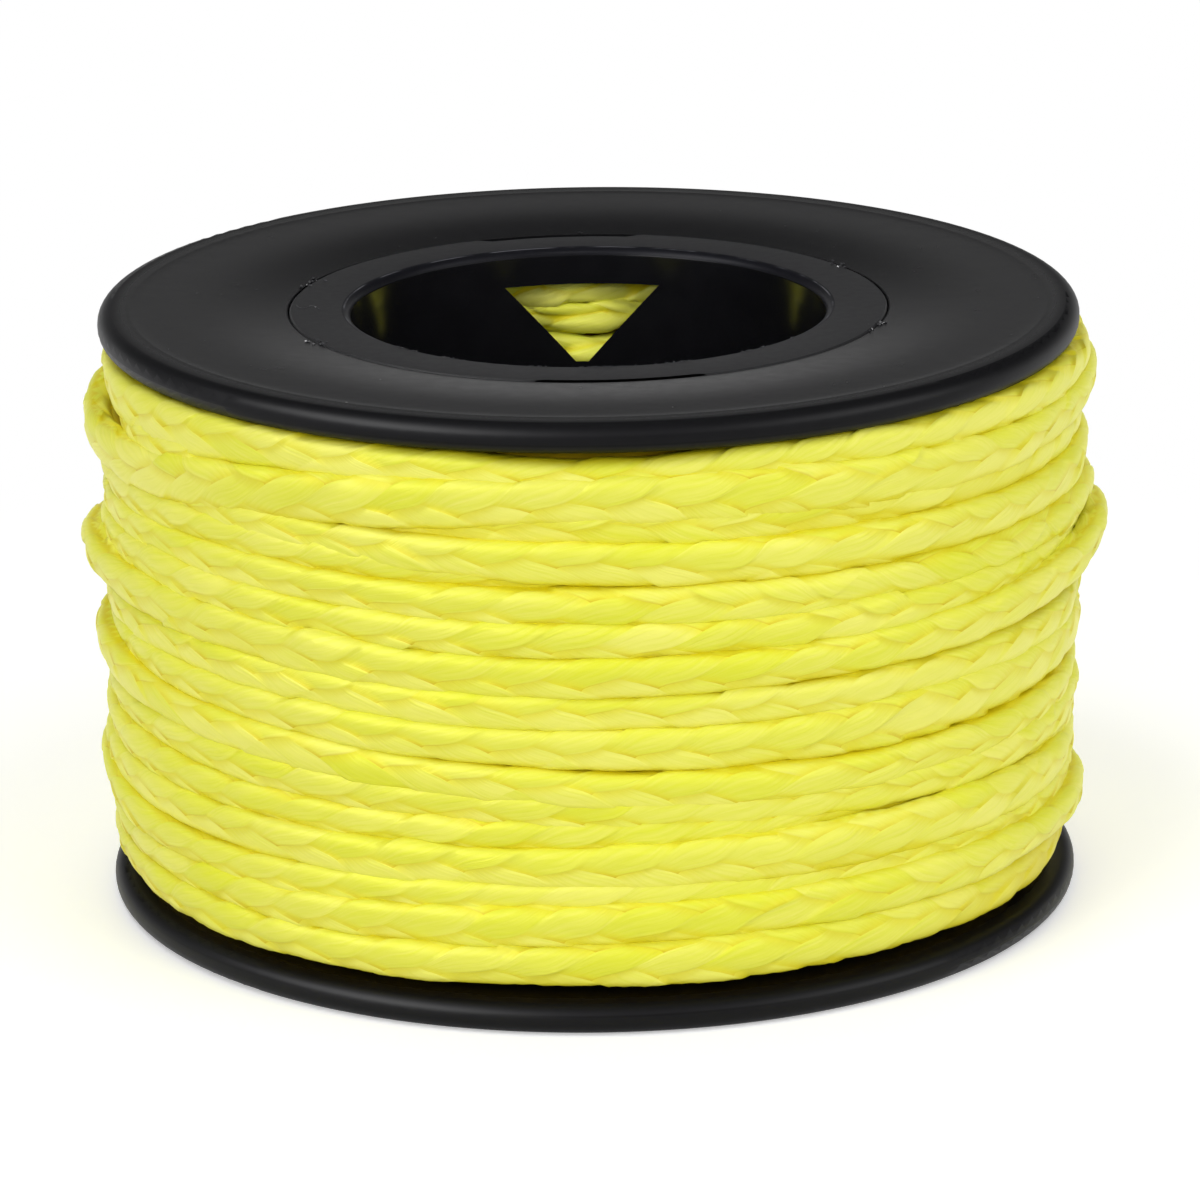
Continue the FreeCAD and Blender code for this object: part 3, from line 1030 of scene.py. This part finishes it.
def flange_details(material):
    """The curve of the dished face, the edge of the rim's land, the mould's parting line and painted shade
    along the seam.
    """
    graph = Graph(material)
    radius, height = graph.radius_and_height()
    curve, reach = face_curve(graph, radius)
    graph.bump(curve, 1.0, reach, Normal=graph.given("Normal"))
    parting = graph.line(height, (SPOOL_HEIGHT / 2 - PARTING_DEPTH) * MM, PARTING_HALF_WIDTH * MM)
    parting = graph.times(parting, graph.ramp(radius, *PARTING_FROM))
    land = graph.line(radius, LAND_EDGE * MM, MARK_HALF_WIDTH * MM)
    seam = graph.painted_seam_shade(radius)
    graph.roughen(parting, 1.0)
    graph.roughen(seam, 1.0)
    graph.roughen(graph.ramp(radius, *RIM_FROM), RIM_ROUGHNESS)
    # The marks and the seam's painted shade take one dark colour
    marks_and_seam_shade = graph.calc("MAXIMUM", graph.calc("MAXIMUM", parting, land), seam)
    graph.dust()
    graph.tint(MARK_AND_SHADE_COLOUR, marks_and_seam_shade)


def ring_details(material):
    """The dust on an end ring and painted shade in the seam round it."""
    graph = Graph(material)
    seam = graph.painted_seam_shade(graph.radius_and_height()[0])
    graph.dust()
    graph.tint(SEAM_SHADE_COLOUR, seam)
    graph.roughen(seam, 1.0)


def mouth_details(material):
    """A painted highlight along the burr on the edge of the bore's mouth: a fine pale line, broken here
    and there.
    """
    graph = Graph(material)
    mouth_highlight = graph.line(graph.radius_and_height()[0], BORE_EDGE * MM, MOUTH_HIGHLIGHT_HALF_WIDTH * MM)
    mouth_highlight = graph.times(mouth_highlight, graph.ramp(graph.noise(graph.place(), 350.0), 0.45, 0.6))
    graph.tint(MOUTH_HIGHLIGHT_COLOUR, mouth_highlight)


def build_camera():
    data = bpy.data.cameras.new("camera")
    data.sensor_width = SENSOR_WIDTH
    data.lens = FOCAL_PIXELS / IMAGE_SIZE * SENSOR_WIDTH
    data.shift_x = (IMAGE_SIZE / 2 - AXIS_PIXEL[0]) / IMAGE_SIZE
    data.shift_y = (AXIS_PIXEL[1] - IMAGE_SIZE / 2) / IMAGE_SIZE
    camera = add_object("camera", data)
    distance = CAMERA_DISTANCE * MM
    camera.location = (
        0,
        -distance * math.cos(CAMERA_ELEVATION),
        distance * math.sin(CAMERA_ELEVATION) + AIM_HEIGHT * MM,
    )
    level = Euler((math.pi / 2 - CAMERA_ELEVATION, 0, 0)).to_matrix()
    camera.rotation_euler = (level @ Matrix.Rotation(-CAMERA_ROLL, 3, "Z")).to_euler()
    bpy.context.scene.camera = camera


def add_lamp(name, kind, place, aim, power):
    data = bpy.data.lights.new(name, kind)
    data.energy = power
    lamp = add_object(name, data)
    lamp.location = place
    lamp.rotation_euler = (Vector(aim) - Vector(place)).to_track_quat("-Z", "Y").to_euler()
    return lamp


def build_lights():
    for name, place, size, power in LAMPS:
        lamp = add_lamp(name, "AREA", place, LAMP_AIM, power)
        lamp.data.shape = "RECTANGLE"
        lamp.data.size, lamp.data.size_y = size
        lamp.visible_glossy = False
    spot = add_lamp("bore_lamp", "SPOT", *BORE_LAMP).data
    spot.spot_size = BORE_BEAM
    spot.spot_blend = 1.0
    spot.shadow_soft_size = BORE_LAMP_SIZE


def band_background(graph, height, bands, strength):
    """A background whose level follows the height of the direction over the horizon."""
    stops = [(math.sin(math.radians(degrees)), level) for degrees, level in bands]
    inputs = {"Color": graph.steps(height, stops), "Strength": strength}
    return graph.add("ShaderNodeBackground", inputs)["Background"]


def build_world():
    """Even soft light. Reflections see bands of light, brighter low down behind the object."""
    world = bpy.data.worlds.new("studio")
    bpy.context.scene.world = world
    graph = Graph(world)
    x, y, z = graph.split(graph.add("ShaderNodeTexCoord")["Generated"])
    left = graph.times(*[graph.ramp(x, *edge) for edge in LEFT_SIDE])
    right = graph.times(graph.ramp(x, *RIGHT_SIDE), RIGHT_LEVEL)
    sides = graph.calc("MAXIMUM", left, right)
    front = band_background(graph, z, BANDS_IN_FRONT, graph.plus(sides, MIDDLE_LEVEL))
    behind = band_background(graph, z, BANDS_BEHIND, 1.0)
    reflected = graph.mixed(graph.ramp(y, -0.2, 0.2), front, behind)
    soft = graph.nodes["Background"]
    graph.set(soft.inputs["Color"], (1, 1, 1, 1))
    graph.set(soft.inputs["Strength"], AMBIENT)
    white = graph.add("ShaderNodeBackground", {"Color": (1, 1, 1, 1), "Strength": 1.0})["Background"]
    light = graph.mixed(graph.rays("Is Glossy Ray"), soft.outputs["Background"], reflected)
    seen = graph.mixed(graph.rays("Is Camera Ray", "Is Transmission Ray"), light, white)
    graph.set(graph.nodes["World Output"].inputs["Surface"], seen)


def build_floor():
    """A pale floor that keeps the object's shadow near it and shows plain white further out."""
    reach = 1500
    corners = np.array([(-reach, -reach, 0), (reach, -reach, 0), (reach, reach, 0), (-reach, reach, 0)])
    floor = add_mesh("floor", corners, np.array([[0, 1, 2, 3]]))
    material = bpy.data.materials.new("white_floor")
    graph = Graph(material)
    graph.give("Base Color", (0.9, 0.9, 0.9, 1))
    graph.give("Roughness", 0.9)
    graph.give("Specular IOR Level", 0.0)
    seen = graph.rays("Is Camera Ray", "Is Glossy Ray", "Is Transmission Ray")
    lift = graph.add("ShaderNodeEmission", {"Strength": graph.times(seen, FLOOR_LIFT)})["Emission"]
    lifted = graph.add("ShaderNodeAddShader", {0: graph.shader.outputs["BSDF"], 1: lift})["Shader"]
    distance = graph.add("ShaderNodeVectorMath", {0: graph.place()}, operation="LENGTH")["Value"]
    plain = graph.times(seen, graph.ramp(distance, *FLOOR_FADE))
    white = graph.add("ShaderNodeEmission")["Emission"]
    surface = graph.nodes["Material Output"].inputs["Surface"]
    graph.set(surface, graph.mixed(plain, lifted, white))
    floor.data.materials.append(material)


bpy.context.scene.view_settings.view_transform = "Standard"
build_camera()
build_world()
build_floor()
build_lights()
build_cord(cord_material())
plastics = {name: plastic_material(name, *finish) for name, finish in PLASTICS.items()}
flange_details(plastics["flange_plastic"])
ring_details(plastics["ring_plastic"])
mouth_details(plastics["mouth_plastic"])
for name in ("top_flange", "bottom_flange"):
    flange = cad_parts[name]
    flange.data.materials.clear()
    flange.data.materials.append(plastics["flange_plastic"])
# The last finish is painted shade for the faces inside the open seam
build_rings([plastics[name + "_plastic"] for name in ("ring", "mouth", "hub", "seam")])
build_hub(plastics["hub_plastic"])
build_flash(plastics["flash_plastic"])
